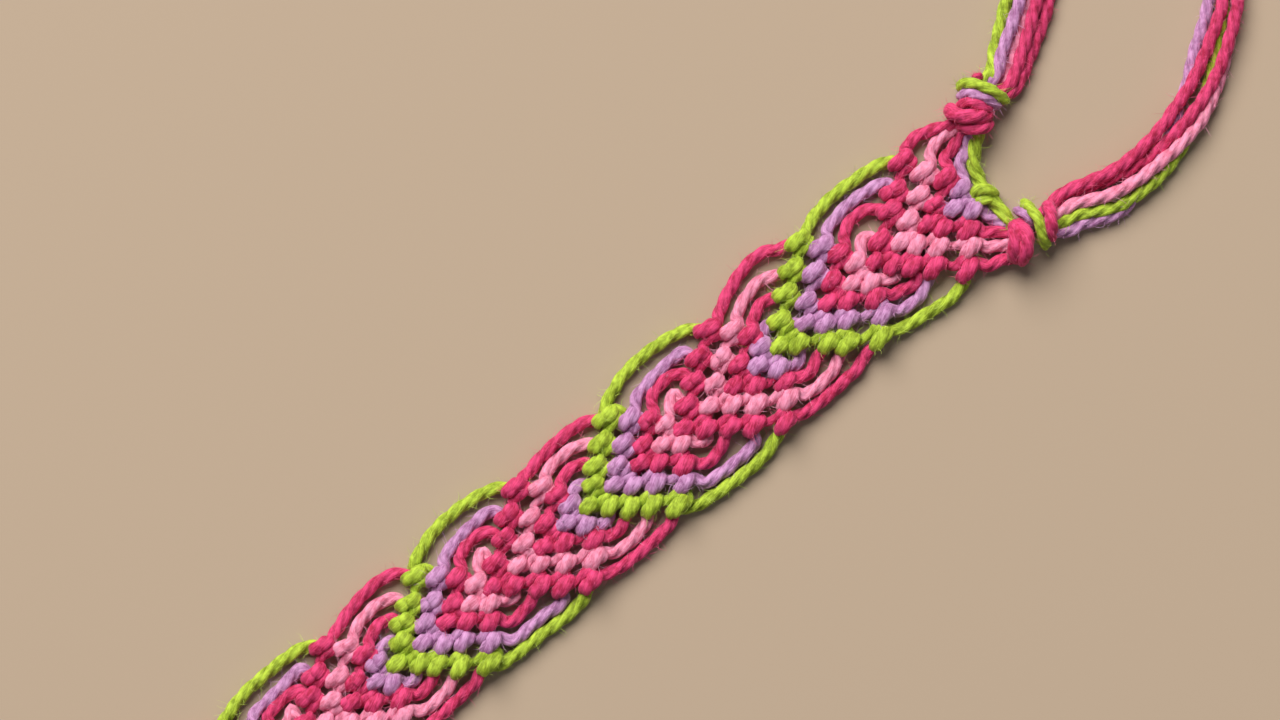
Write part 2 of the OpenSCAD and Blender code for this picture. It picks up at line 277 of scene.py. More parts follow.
def fuzz_material(name):
    """The loose fibres let light through, so they look a little paler than the yarn."""
    material = bpy.data.materials.new(name + "_fuzz")
    material.use_nodes = True
    shader = material.node_tree.nodes["Principled BSDF"]
    pale = [FUZZ_SHARE * c + FUZZ_ADDED for c in COLOURS[name][0]]
    shader.inputs["Base Color"].default_value = (*pale, 1)
    shader.inputs["Roughness"].default_value = 0.8
    shader.inputs["Specular IOR Level"].default_value = 0.1
    return material


MATERIALS = {name: yarn_material(name) for name in COLOURS}
MATERIALS.update({name + "_fuzz": fuzz_material(name) for name in COLOURS})

# Yarn as mesh


def along_curve(points, values, spacing=RING_STEP):
    """A smooth curve through the points, resampled evenly, with the values carried along.

    It returns the length up to each sample, and the samples: each a point and its values. Between two
    points it is a cubic with the tangents of the parabola through each point and its neighbours.
    """
    points = np.asarray(points, float)
    rows = np.concatenate([points, values], 1)
    chord = np.maximum(np.linalg.norm(np.diff(points, axis=0), axis=1), 1e-3)
    knot = np.concatenate([[0], np.cumsum(chord)])
    slope = np.diff(rows, axis=0) / chord[:, None]
    tangent = np.empty_like(rows)
    tangent[0] = slope[0]
    tangent[-1] = slope[-1]
    before, after = chord[:-1, None], chord[1:, None]
    tangent[1:-1] = (after * slope[:-1] + before * slope[1:]) / (before + after)
    count = max(2, int(knot[-1] / (spacing * FINE_SHARE)))
    t = np.linspace(0, knot[-1], count)
    i = np.clip(np.searchsorted(knot, t, side="right") - 1, 0, len(chord) - 1)
    long = chord[i, None]
    f = ((t - knot[i]) / chord[i])[:, None]
    fine = ((2 * f ** 3 - 3 * f ** 2 + 1) * rows[i] + (f ** 3 - 2 * f ** 2 + f) * long * tangent[i]
            + (3 * f ** 2 - 2 * f ** 3) * rows[i + 1] + (f ** 3 - f ** 2) * long * tangent[i + 1])
    step = np.linalg.norm(np.diff(fine[:, :3], axis=0), axis=1)
    length = np.concatenate([[0], np.cumsum(step)])
    even = np.linspace(0, length[-1], max(3, int(length[-1] / spacing) + 1))
    return even, np.stack([np.interp(even, length, fine[:, c]) for c in range(fine.shape[1])], 1)


class Piece:
    """One object's yarns, gathered before its mesh is made. It replaces a CAD node, alone or with another."""

    def __init__(self, name, node, slot):
        self.name = name
        self.node = node
        self.slot = slot
        self.points, self.quads, self.uvs, self.shades, self.reliefs = [], [], [], [], []
        self.caps, self.cap_shades = [], []
        self.names = []
        self.count = 0

    def shade(self, name):
        """The number of a material in this object."""
        if name not in self.names:
            self.names.append(name)
        return self.names.index(name)

    def add(self, points, quads, uvs, shade, relief):
        """Takes points in band millimetres, and quads that count from this call's first point."""
        self.points.append(world(points).reshape(-1, 3))
        self.quads.append(quads + self.count)
        self.reliefs.append(relief.ravel())
        self.uvs.append(uvs)
        self.shades += [self.shade(shade)] * len(quads)
        self.count += len(self.points[-1])

    def add_fuzz(self, colour, root, outward, heading):
        """Loose fibre ends: narrow curling ribbons that stand off the yarn."""
        n = len(root)
        stray, turned, curl = rng.normal(0, 1, (3, n, 3))
        long = rng.uniform(*FUZZ_L, (n, 1)) / FUZZ_PARTS
        lean = rng.uniform(-FUZZ_LEAN, FUZZ_LEAN, (n, 1))
        step = unit(outward * rng.uniform(*FUZZ_OUT, (n, 1)) + heading * lean + FUZZ_STRAY * stray)
        flat = unit(np.cross(step, turned))
        spine = [root]
        for k in range(FUZZ_PARTS):
            spine.append(spine[-1] + step * long)
            step = unit(step + FUZZ_CURL * curl * (0.5 + k) / 2)
        spine = np.stack(spine, 1)
        spine[..., 2] = np.maximum(spine[..., 2], FUZZ_LOWEST)
        half = FUZZ_W / 2 * FUZZ_TAPER[None, :, None] * flat[:, None, :]
        points = np.stack([spine - half, spine + half], 2)
        first = np.arange(n)[:, None, None] * FUZZ_POINTS + np.arange(FUZZ_PARTS)[None, :, None] * 2
        quads = (first + np.array([0, 1, 3, 2])).reshape(-1, 4)
        self.add(points, quads, np.zeros((len(quads), 4, 2)), colour + "_fuzz", np.zeros(n * FUZZ_POINTS))

    def add_yarn(self, colour, way, spacing=RING_STEP):
        """A yarn along a way, which is a list of (point, side direction, half width, half thickness, lay).

        Its width lies along the side direction. Its end caps and its loose fibres come with it.
        """
        points = np.array([w[0] for w in way], float)
        values = np.array([[*w[1], w[2], w[3], 1 / w[4], RELIEF[w[4]]] for w in way], float)
        length, rows = along_curve(points, values, spacing)
        centre, side = rows[:, :3], rows[:, 3:6]
        wide, thick, turns, relief = rows[:, 6:7], rows[:, 7:8], rows[:, 8], rows[:, 9:10]
        heading = unit(np.gradient(centre, axis=0))
        side = unit(side - heading * np.sum(side * heading, 1, keepdims=True))
        normal = np.cross(heading, side)
        turned = np.concatenate([[0], np.cumsum(0.5 * (turns[1:] + turns[:-1]) * np.diff(length))])
        turn = rng.random() - turned
        k = np.arange(SIDES) / SIDES
        angle = 2 * math.pi * (k[None, :] + turn[:, None])
        lobes = 1 - relief * (1 - LOBE_SHAPE[None, :])
        across = (wide * lobes * np.cos(angle))[..., None]
        upward = (thick * lobes * np.sin(angle))[..., None]
        outward = side[:, None, :] * across + normal[:, None, :] * upward
        ring = centre[:, None, :] + outward
        n = len(centre)
        index = np.arange(n * SIDES).reshape(n, SIDES)
        beside = np.roll(index, -1, axis=1)
        quads = np.stack([index[:-1], beside[:-1], beside[1:], index[1:]], -1).reshape(-1, 4)
        u = length[:, None] + np.zeros(SIDES) + rng.random() * PATTERN_L
        uv = np.stack([u, 0 * u + k[None, :]], -1)
        step_v = np.array([0, 1 / SIDES])
        corner = np.stack([uv[:-1], uv[:-1] + step_v, uv[1:] + step_v, uv[1:]], -2).reshape(-1, 4, 2)
        self.caps += [(index[0][::-1] + self.count).tolist(), (index[-1] + self.count).tolist()]
        self.cap_shades += [self.shade(colour)] * 2
        self.add(ring, quads, corner, colour, relief + np.zeros(SIDES))
        hairs = int(length[-1] * FUZZ_PER_MM)
        at, spoke = rng.integers(0, n, hairs), rng.integers(0, SIDES, hairs)
        shown = outward[at, spoke, 2] > FUZZ_FROM_Z
        at, spoke = at[shown], spoke[shown]
        root = centre[at] + outward[at, spoke] * FUZZ_ROOT
        self.add_fuzz(colour, root, unit(outward[at, spoke]), heading[at])

    def build(self):
        """The object, with one mesh of quads and the caps that close the yarns' ends."""
        points = np.concatenate(self.points)
        quads = np.concatenate(self.quads)
        faces = len(quads)
        corners = faces * 4 + len(self.caps) * SIDES
        mesh = bpy.data.meshes.new(self.name)
        mesh.vertices.add(len(points))
        mesh.vertices.foreach_set("co", points.astype(np.float32).ravel())
        mesh.loops.add(corners)
        loops = np.concatenate([quads.ravel(), np.array(self.caps).ravel()])
        mesh.loops.foreach_set("vertex_index", loops.astype(np.int32))
        mesh.polygons.add(faces + len(self.caps))
        starts = np.concatenate([np.arange(faces) * 4, faces * 4 + np.arange(len(self.caps)) * SIDES])
        mesh.polygons.foreach_set("loop_start", starts.astype(np.int32))
        mesh.polygons.foreach_set("material_index", np.array(self.shades + self.cap_shades, np.int32))
        mesh.update(calc_edges=True)
        mesh.validate()
        layer = mesh.uv_layers.new(name="yarn")
        flat = np.zeros((corners, 2), np.float32)
        flat[:faces * 4] = np.concatenate(self.uvs).reshape(-1, 2)
        layer.data.foreach_set("uv", flat.ravel())
        relief = mesh.attributes.new("relief", "FLOAT", "POINT")
        relief.data.foreach_set("value", np.concatenate(self.reliefs).astype(np.float32))
        mesh.shade_smooth()
        for name in self.names:
            mesh.materials.append(MATERIALS[name])
        made = bpy.data.objects.new(self.name, mesh)
        bpy.context.scene.collection.objects.link(made)
        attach(made, "root")
        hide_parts(self.node)
        return made


# The chart: a leaf's rows of knots, in lilac, pink, salmon, pink, salmon, pink, lilac and green. Each knot
# is (across, along) from the last green tip, from the outermost one to the middle one. The left side
# mirrors the right.
ROWS = [
    [(1.13, 1.13), (0, 2.26)],
    [(2.42, 1.37), (1.13, 3.39), (0, 4.84)],
    [(3.67, 2.18), (2.38, 4.27), (1.17, 5.89), (0, 7.34)],
    [(4.96, 3.55), (3.59, 5.48), (2.50, 7.02), (1.29, 8.63), (0, 10.08)],
    [(1.05, 11.05), (0, 12.34)],
    [(2.34, 11.85), (0.97, 13.39), (0, 14.60)],
    [(3.47, 12.90), (2.10, 14.60), (1.13, 16.05), (0, 17.26)],
    [(4.60, 14.27), (3.31, 16.05), (2.26, 17.42), (1.17, 18.47), (0, 19.96)],
]
# The second salmon row. From here on the floats start in the leaf itself, and the earlier rows' floats start
# in the leaf before.
FIRST_LATE_ROW = 4
# The first leaf's rows from the left to the right, as it was tied less evenly
FIRST_ROWS = [
    [(-0.60, 1.25), (0.27, 2.66), (1.41, 1.65)],
    [(-2.10, 1.69), (-1.01, 3.67), (-0.14, 5.22), (0.94, 4.41), (2.42, 2.86)],
    [(-3.63, 2.66), (-2.42, 4.19), (-1.37, 6.13), (-0.40, 7.74), (0.73, 6.85), (1.94, 5.65),
     (3.63, 3.63)],
    [(-5.40, 3.47), (-3.95, 5.48), (-2.98, 6.69), (-1.53, 8.87), (-0.48, 10.32),
     (0.73, 9.27), (1.77, 8.15), (2.98, 6.85), (4.84, 4.92)],
    [(-1.45, 11.53), (-0.32, 12.90), (0.65, 11.69)],
    [(-2.90, 12.10), (-1.53, 13.95), (-0.32, 15.32), (0.65, 13.95), (1.85, 12.10)],
    [(-4.23, 12.90), (-2.98, 14.60), (-1.61, 16.57), (-0.24, 17.74), (0.89, 16.53), (1.81, 14.92),
     (3.31, 12.50)],
    [(-5.73, 13.95), (-4.35, 15.81), (-3.15, 17.42), (-1.77, 19.19), (-0.16, 20.56),
     (0.73, 19.19), (2.22, 17.26), (3.23, 16.17), (4.60, 13.79)],
]
# Floats into a row's outermost knot: (across, along, height) from the last green tip
FLOATS = {
    LEFT: {
        0: [(1.50, -1.05, 0.80), (1.78, -0.35, 0.95), (1.50, 0.40, 1.0)],
        1: [(2.75, -2.15, 0.70), (3.12, -1.45, 0.82), (3.15, -0.50, 0.9), (2.88, 0.40, 1.0)],
        2: [(3.80, -3.35, 0.70), (4.25, -2.55, 0.80), (4.45, -1.30, 0.8), (4.40, -0.10, 0.85),
            (4.00, 1.10, 1.0)],
        3: [(4.98, -4.95, 0.65), (5.42, -4.00, 0.70), (5.60, -2.40, 0.7), (5.55, -0.80, 0.7),
            (5.38, 0.80, 0.75), (5.12, 2.10, 0.95)],
        4: [(2.60, 8.80, 0.80), (2.35, 9.35, 0.95), (1.85, 9.85, 1.0)],
        5: [(3.15, 7.10, 0.9), (3.85, 8.00, 0.75), (3.92, 9.30, 0.75), (3.35, 10.55, 0.95)],
        6: [(4.55, 6.00, 0.8), (4.84, 7.90, 0.65), (4.64, 9.90, 0.7), (4.05, 11.65, 0.95)],
        7: [(5.58, 4.30, 0.7), (6.05, 5.20, 0.65), (6.46, 6.90, 0.6), (6.62, 8.80, 0.6), (6.40, 11.10, 0.6),
            (5.78, 12.80, 0.7), (5.28, 13.80, 0.65), (4.50, 14.30, 0.48), (3.95, 13.70, 0.50),
            (4.15, 13.05, 0.95)],
    },
    RIGHT: {
        0: [(1.50, -1.05, 0.80), (1.85, -0.40, 0.95), (1.65, 0.35, 1.0)],
        1: [(2.45, -2.05, 0.75), (2.82, -1.40, 0.85), (3.05, -0.60, 0.9), (2.80, 0.35, 1.0)],
        2: [(3.58, -3.35, 0.70), (4.02, -2.60, 0.80), (4.30, -1.40, 0.8), (4.35, -0.20, 0.85),
            (4.10, 0.90, 1.0)],
        3: [(4.85, -5.00, 0.65), (5.20, -4.20, 0.72), (5.38, -2.60, 0.7), (5.46, -0.90, 0.7),
            (5.42, 0.90, 0.8), (5.20, 2.10, 1.0)],
        4: [(1.85, 8.95, 0.80), (1.95, 9.45, 0.95), (1.60, 9.95, 1.0)],
        5: [(2.90, 8.10, 0.9), (3.50, 9.20, 0.75), (3.50, 10.30, 0.8), (3.00, 11.00, 0.95)],
        6: [(4.55, 6.20, 0.8), (5.00, 8.20, 0.65), (4.95, 9.90, 0.7), (4.40, 11.60, 0.95)],
        7: [(5.35, 4.50, 0.7), (6.10, 6.60, 0.6), (6.20, 9.20, 0.6), (5.90, 11.90, 0.7), (5.45, 13.50, 0.65),
            (4.70, 14.30, 0.48), (4.05, 13.80, 0.50), (4.15, 13.15, 0.95)],
    },
}
# The same for the first leaf, whose first four rows take their strands from the gathering knots
FIRST_FLOATS = {
    LEFT: {
        4: [(2.30, 9.20, 0.8), (2.50, 9.80, 0.95), (2.15, 10.30, 1.0)],
        5: [(3.45, 7.20, 0.9), (3.95, 7.80, 0.75), (4.27, 8.70, 0.75), (4.22, 9.70, 0.75),
            (3.75, 10.70, 0.95)],
        6: [(4.60, 5.30, 0.8), (5.00, 6.00, 0.7), (5.28, 7.40, 0.65), (5.36, 8.90, 0.65), (5.14, 10.50, 0.7),
            (4.65, 11.80, 0.95)],
        7: [(5.75, 3.90, 0.7), (6.30, 5.20, 0.65), (6.55, 7.20, 0.6), (6.68, 9.10, 0.6), (6.52, 10.90, 0.6),
            (6.20, 12.20, 0.8)],
    },
    RIGHT: {
        4: [(1.40, 9.50, 0.8), (1.50, 10.00, 0.95), (1.15, 10.50, 1.0)],
        5: [(2.60, 8.10, 0.9), (2.95, 8.80, 0.75), (2.72, 9.90, 0.75), (2.40, 10.90, 0.95)],
        6: [(3.30, 7.60, 0.7), (3.72, 8.40, 0.7), (4.05, 9.40, 0.65), (4.00, 10.50, 0.7),
            (3.70, 11.45, 0.95)],
        7: [(5.25, 5.50, 0.7), (5.60, 6.40, 0.65), (5.72, 7.60, 0.6), (5.50, 9.20, 0.6), (5.30, 10.60, 0.6),
            (5.05, 11.90, 0.8)],
    },
}
# How far each leaf's floats stand out, as shares of the table's: those of its first four rows and the others
EARLY_BULGES = {LEFT: (1, 1.25, 1, 1.10, 0.99, 1.05, 1), RIGHT: (1, 1, 1.02, 0.98, 1.03, 1, 1.03)}
LATE_BULGES = {LEFT: (1, 0.98, 0.98, 0.92, 0.98, 1.01, 0.97), RIGHT: (1, 0.96, 0.90, 0.97, 1, 0.96, 0.98)}
# Each strand's way through a leaf: rows that it knots, and (row, knot from the middle) that it lies in
KNOTS, LIES = "knots", "lies"
WAYS = {
    "green": [(LIES, 0, 1), (LIES, 1, 2), (LIES, 2, 3), (LIES, 3, 4), (KNOTS, 7)],
    "lilac": [(KNOTS, 0), (LIES, 1, 1), (LIES, 2, 2), (LIES, 3, 3), (KNOTS, 6), (LIES, 7, 1)],
    "inner_pink": [(KNOTS, 1), (LIES, 2, 1), (LIES, 3, 2), (KNOTS, 5), (LIES, 6, 1), (LIES, 7, 2)],
    "salmon": [(KNOTS, 2), (LIES, 3, 1), (KNOTS, 4), (LIES, 5, 1), (LIES, 6, 2), (LIES, 7, 3)],
    "outer_pink": [(KNOTS, 3), (LIES, 4, 1), (LIES, 5, 2), (LIES, 6, 3), (LIES, 7, 4)],
}
# From the gathering knots to the first leaf: (across, along, height)
STARTS = {
    ("green", LEFT): [(-3.8, -3.4, 1.6), (-3.00, -2.60, 1.4), (-2.10, -1.50, 1.2), (-1.10, -0.75, 1.0),
                      (-0.2, -0.5, 0.9)],
    ("lilac", LEFT): [(-3.7, -2.9, 1.3), (-3.25, -1.81, 1.0), (-2.61, -1.07, 0.9), (-2.29, -0.19, 0.95)],
    ("inner_pink", LEFT): [(-4.1, -3.0, 1.3), (-3.88, -1.81, 1.1), (-3.52, -0.47, 0.95), (-3.19, 0.64, 0.95)],
    ("salmon", LEFT): [(-4.5, -2.9, 1.3), (-4.61, -1.69, 1.1), (-4.76, -0.24, 0.95), (-4.41, 1.10, 0.95)],
    ("outer_pink", LEFT): [(-4.7, -2.6, 1.4), (-5.10, -1.35, 1.2), (-5.85, 0.32, 0.9), (-6.08, 1.60, 0.8),
                           (-5.74, 2.62, 0.95)],
    ("green", RIGHT): [(5.0, -0.4, 1.3), (3.95, -0.15, 1.3), (2.80, -0.27, 1.3), (1.75, -0.22, 1.2)],
    ("lilac", RIGHT): [(4.9, -0.3, 1.1), (3.90, 0.10, 1.0), (3.30, 0.45, 0.95), (2.50, 0.90, 0.95)],
    ("inner_pink", RIGHT): [(5.3, 0.2, 1.2), (4.45, 0.60, 1.1), (3.80, 1.20, 1.0), (3.30, 2.00, 1.0)],
    ("salmon", RIGHT): [(5.9, 0.5, 1.1), (5.40, 0.90, 1.1), (4.90, 1.70, 1.0), (4.38, 2.50, 0.95)],
    ("outer_pink", RIGHT): [(6.5, 0.9, 1.2), (6.29, 1.58, 1.0), (5.90, 2.40, 0.9), (5.54, 3.50, 0.95)],
}
# The single green knot at the start, and the radius of the green yarn up to there
START_KNOT_ALONG = 0.0
START_KNOT_ACROSS = 0.8
START_R = 0.6
# The far knots' distance from the middle line, how far past the last green tip the strands end inside them,
# and how high a strand ends in any knot that gathers several
FAR_KNOT_ACROSS = 4.6
HELD_L = 7.4
HELD_Z = 1.5
# From the last leaf towards the far knots: (across, along, height) from the last green tip
ENDS = {
    "green": [(0.9, 1.6, 1.3), (2.4, 3.4, 1.5), (4.2, 5.6, 1.7)],
    "lilac": [(2.0, -0.6, 0.8), (2.6, 1.7, 0.6), (3.7, 5.8, 1.2)],
    "inner_pink": [(3.1, -1.6, 0.8), (3.7, 1.5, 0.6), (4.6, 5.8, 1.0)],
    "salmon": [(4.3, -2.6, 1.0), (5.0, 1.0, 1.3), (5.2, 5.8, 1.6)],
    "outer_pink": [(5.6, -4.2, 0.9), (6.4, -1.5, 0.7), (6.2, 1.8, 0.7), (5.7, 5.8, 1.2)],
}

# One knot, as the way of its working yarn: (down the knot, outwards, height over the middle, half width,
# half thickness). The yarn lies over the strand in one broad turn, goes back below and over it once more.
STROKE = [
    (-0.84, 0.38, -0.08, 0.42, 0.38),
    (-0.98, 0.14, 0.22, 0.54, 0.40),
    (-0.78, 0.02, 0.54, 0.65, 0.45),
    (-0.40, 0.00, 0.71, 0.69, 0.48),
    (0.06, 0.00, 0.72, 0.68, 0.48),
    (0.48, 0.00, 0.62, 0.63, 0.46),
    (0.80, 0.00, 0.32, 0.56, 0.42),
    (0.88, -0.02, -0.10, 0.50, 0.40),
    (0.66, -0.06, -0.44, 0.48, 0.38),
    (0.10, -0.14, -0.60, 0.48, 0.38),
    (-0.50, -0.30, -0.50, 0.42, 0.36),
    (-0.96, -0.48, -0.10, 0.40, 0.36),
    (-0.92, -0.66, 0.30, 0.45, 0.40),
    (-0.46, -0.78, 0.46, 0.48, 0.42),
    (0.06, -0.84, 0.26, 0.45, 0.40),
]
# The broad turn has a shallow waist: its point in the way, the range of its depth, and how much narrower
# the turn is there, as a share of the depth
WAIST = 4
WAIST_DEPTHS = {LEFT: (0.08, 0.18), RIGHT: (0.0, 0.10)}
WAIST_SHARE = 0.5
# The last point of the way that the middle knot uses, below the strand
BOTTOM = 9
# Knots are shorter towards the middle line
KNOT_L = (0.70, 0.76, 0.84, 0.92, 0.96)
# How far the knots lean, and how much that, their size and their place differ from one to the next
LEAN = {LEFT: math.radians(-6), RIGHT: math.radians(9)}
LEAN_SPREAD = math.radians(5)
SIZE_SPREAD = 0.04
PLACE_SPREAD = 0.07
# A strand inside a knot is pressed thin. It enters and leaves the knot this far from its middle, and the
# right strand enters the middle knot nearly from the side.
INSIDE_R = 0.36
INSIDE_Z = 0.95
INSIDE_ALONG = 0.55
INSIDE_ACROSS = 0.5
TIP_INSIDE_ALONG = 0.3
# How far each knot lies from its place in the chart. Knots count from the middle one, those of the right
# side as positive.
JITTER = {(leaf, row, knot): rng.normal(0, PLACE_SPREAD, 2)
          for leaf in range(LEAF_COUNT) for row in range(len(ROWS)) for knot in range(-4, 5)}


def leaf_start(leaf):
    """Where a leaf starts along the band, at the last green tip."""
    return 0 if leaf == 0 else FIRST_LEAF_L + (leaf - 1) * LEAF_L


def knot_at(leaf, row, knot, side):
    """The middle of a knot, as (along, across). Knots are counted from the middle line."""
    if leaf == 0:
        across, along = FIRST_ROWS[row][len(FIRST_ROWS[row]) // 2 + side * knot]
        return np.array([along, across])
    across, along = ROWS[row][-1 - knot]
    jitter = JITTER[leaf, row, side * knot]
    return np.array([leaf_start(leaf) + along, side * across]) + jitter


def level(way):
    """Gives each point of a way that has no side direction one that is level and square to the way."""
    points = np.array([w[0] for w in way], float)
    heading = np.gradient(points, axis=0)
    flat = unit(np.stack([-heading[:, 1], heading[:, 0], np.zeros(len(points))], 1))
    return [(w[0], w[1] if w[1] is not None else flat[i], *w[2:]) for i, w in enumerate(way)]


def free(along, across, height, r=YARN_R):
    """A point of a way where the yarn is round."""
    return (np.array([along, across, height], float), None, r, r, LAY)


def wrap(leaf, row, knot, side, first=0, last=len(STROKE)):
    """The working yarn's points around one knot."""
    centre = knot_at(leaf, row, knot, side)
    lean = LEAN[side] + LEAN_SPREAD * rng.normal()
    size = 1 + SIZE_SPREAD * rng.normal()
    waist = rng.uniform(*WAIST_DEPTHS[side])
    long = size * KNOT_L[knot]
    down = np.array([math.cos(lean), math.sin(lean), 0])
    broad = np.array([-math.sin(lean), math.cos(lean), 0])
    way = []
    for i, (along, outwards, height, half_w, half_t) in enumerate(STROKE[first:last], first):
        dip = waist if i == WAIST else 0
        place = centre + (down * along * long + broad * side * outwards * size)[:2]
        way.append((np.array([*place, MIDDLE_Z + height - dip]),
                    broad, (half_w - WAIST_SHARE * dip) * size, half_t, KNOT_LAY))
    return way


def lying(centre, side, into_float):
    """A strand through the knot that is tied on it. A float follows its own points from the middle on."""
    along, across = centre
    way = [free(along - INSIDE_ALONG, across - INSIDE_ACROSS * side, INSIDE_Z, INSIDE_R),
           free(along, across, MIDDLE_Z, INSIDE_R)]
    if not into_float:
        way.append(free(along + INSIDE_ALONG, across + INSIDE_ACROSS * side, INSIDE_Z, INSIDE_R))
    return way


def floats_to(leaf, row):
    """Whether a strand floats to this row's outermost knot."""
    return leaf > 0 or row >= FIRST_LATE_ROW


def float_way(leaf, row, side):
    """A float's points. Its bulge fades towards the knot, and in the later rows towards both ends."""
    points = np.array((FIRST_FLOATS if leaf == 0 else FLOATS)[side][row])
    reach = (points[:, 1] - points[0, 1]) / np.ptp(points[:, 1])
    if row < FIRST_LATE_ROW:
        bulge = 1 + (EARLY_BULGES[side][leaf] - 1) * (1 - reach ** max(1, row - 1))
    else:
        bulge = 1 + (LATE_BULGES[side][leaf] - 1) * np.sin(math.pi * reach)
    return [free(leaf_start(leaf) + a, side * c * b, h) for (c, a, h), b in zip(points, bulge)]


def strand(name, side):
    """The whole way of one strand, from its gathering knot to its far knot."""
    r = START_R if name == "green" else YARN_R
    way = [free(a, c, h, r) for c, a, h in STARTS[name, side]]
    if name == "green":
        # The green strands meet in the single knot before the first leaf, and change sides in it
        way.append(free(START_KNOT_ALONG, START_KNOT_ACROSS, MIDDLE_Z))
        side = -side
    steps = [(leaf, *step) for leaf in range(LEAF_COUNT) for step in WAYS[name]]
    for here, after in zip(steps, steps[1:] + [None]):
        leaf, kind, row = here[:3]
        if kind == LIES:
            into_float = after is not None and after[1] == KNOTS and floats_to(after[0], after[2])
            way += lying(knot_at(leaf, row, here[3], side), side, into_float)
            continue
        if floats_to(leaf, row):
            way += float_way(leaf, row, side)
        outermost = len(ROWS[row]) - 1
        for knot in range(outermost, 0, -1):
            way += wrap(leaf, row, knot, side, 1 if knot == outermost else 0)
        # The two strands of the row meet in its middle knot, which the left one ties, and change sides
        centre = knot_at(leaf, row, 0, side)
        if side == LEFT:
            way += wrap(leaf, row, 0, LEFT, 0, BOTTOM + 1)
        else:
            way += [free(centre[0] - TIP_INSIDE_ALONG, centre[1] + INSIDE_ACROSS, INSIDE_Z, INSIDE_R),
                    free(centre[0], centre[1], MIDDLE_Z, INSIDE_R)]
        side = -side
    tip = leaf_start(LEAF_COUNT)
    way += [free(tip + a, side * c, h) for c, a, h in ENDS[name]]
    way.append(free(tip + HELD_L, side * FAR_KNOT_ACROSS, HELD_Z, INSIDE_R))
    return level(way)


# The closing loop and the ties are bundles of five strands, each around a route of (along, across). A
# strand's way has a point every STEP_L. At both ends it runs on for HELD_STEP into what holds it, where the
# strands lie closer by HELD_SHARE.
STRANDS = ("green", "lilac", "inner_pink", "outer_pink", "salmon")
BUNDLE_Z = 1.0
BUNDLE_YARN_R = 0.55
STEP_L = 1.1
HELD_STEP = 1.5
HELD_SHARE = 0.6
LOOP_ROUTE = [(-6.1, -4.9), (-7.1, -4.95), (-8.8, -6), (-11, -7.5), (-12.8, -8.8), (-16.2, -11.2),
              (-20, -12.9), (-24.2, -12.6), (-27.6, -10.2), (-28.8, -6.2), (-27.6, -2.2), (-25, 1.3),
              (-21.7, 3.9), (-18.4, 6), (-14.3, 7.4), (-11.3, 7.7), (-8.5, 7.3), (-6.5, 6.6), (-4.9, 6),
              (-3.9, 5.95)]
# The ties' routes count from their start at the far knots
TIE_START = 150.84
TIE_ROUTES = {
    LEFT: [(0, 0), (3, 0), (7, -0.8), (11, -1.9), (15, -3.2), (19, -4.2), (23, -4.7), (27, -4.5), (31, -3.8),
           (35, -2.7), (39, -1.8), (43, -1.3), (47, -1.4), (51, -1.9), (54, -2.4)],
    RIGHT: [(0, 0), (3, 0), (7, 1.1), (11, 2.2), (15, 3), (19, 3.2), (23, 2.7), (27, 1.7), (31, 0.7),
            (35, 0.1), (39, 0.2), (43, 0.9), (47, 1.9), (51, 2.9), (54, 3.5)],
}
# The loop's strands at these shares of its length: how far to the outer side, and how high
SHARES = (0, 0.05, 0.12, 0.2, 0.4, 0.62, 0.7, 0.78, 0.86, 0.93, 1)
LOOP_OUTWARDS = {
    "green": (1.25, 1.60, 1.75, 1.40, 0.15, -0.10, 0.10, 0.60, 1.15, 1.45, 0.85),
    "lilac": (0.75, 1.00, 0.70, 0.50, -0.70, -1.30, -1.55, -1.10, 0.30, 2.00, 1.75),
    "inner_pink": (-0.35, -0.55, -0.62, -0.50, -0.80, -0.25, -0.75, -1.40, -1.50, -1.30, -1.00),
    "outer_pink": (-0.87, -1.25, -1.63, -1.40, 0.95, 0.95, 0.80, 0.00, -0.60, -0.85, -0.70),
    "salmon": (0.10, 0.10, 0.10, 0.30, 0.50, 0.85, 1.00, 0.95, 0.30, 0.35, 0.05),
}
LOOP_HEIGHTS = {
    "green": (1.4, 0.6, 0.5, 0.5, 1.3, 0.5, 0.5, 0.5, 0.7, 0.9, 1.2),
    "lilac": (1.3, 1.2, 1.2, 1.2, 0.5, 0.5, 0.5, 0.5, 0.5, 0.5, 0.9),
    "inner_pink": (1.3, 1.2, 1.2, 1.2, 1.3, 1.3, 1.3, 1.2, 1.2, 1.3, 1.3),
    "outer_pink": (1.0, 0.6, 0.6, 0.6, 1.2, 1.3, 1.3, 1.4, 0.6, 0.6, 0.8),
    "salmon": (0.5, 0.5, 0.5, 0.5, 0.5, 0.5, 0.6, 1.1, 1.4, 1.4, 1.3),
}
# How often a tie's strands wind round each other, their reach across and up from the middle, and its height
TIE_TURNS = 1.3
TIE_REACH_ACROSS = 1.15
TIE_REACH_UP = 0.42
TIE_Z = 0.95


def shade_of(name):
    """The colour of a strand: both pink ones share theirs."""
    return name.split("_")[-1]


def in_loop(name, share):
    """How far out and how high a strand lies at a share of the loop's length."""
    return np.interp(share, SHARES, LOOP_OUTWARDS[name]), np.interp(share, SHARES, LOOP_HEIGHTS[name])


def in_tie(name, share):
    """The same in a tie, where the strands wind slowly round each other."""
    angle = 2 * math.pi * (STRANDS.index(name) / len(STRANDS) + TIE_TURNS * share)
    return TIE_REACH_ACROSS * math.cos(angle), TIE_Z + TIE_REACH_UP * math.sin(angle)


def spaced(route):
    """Points along a smooth route, about STEP_L apart, with their headings."""
    points = np.array([(*p, BUNDLE_Z) for p in route], float)
    length, fine = along_curve(points, np.zeros((len(points), 1)))
    count = max(4, round(length[-1] / STEP_L))
    at = np.linspace(0, length[-1], count + 1)
    even = np.stack([np.interp(at, length, fine[:, c]) for c in range(3)], 1)
    return even, unit(np.gradient(even, axis=0))


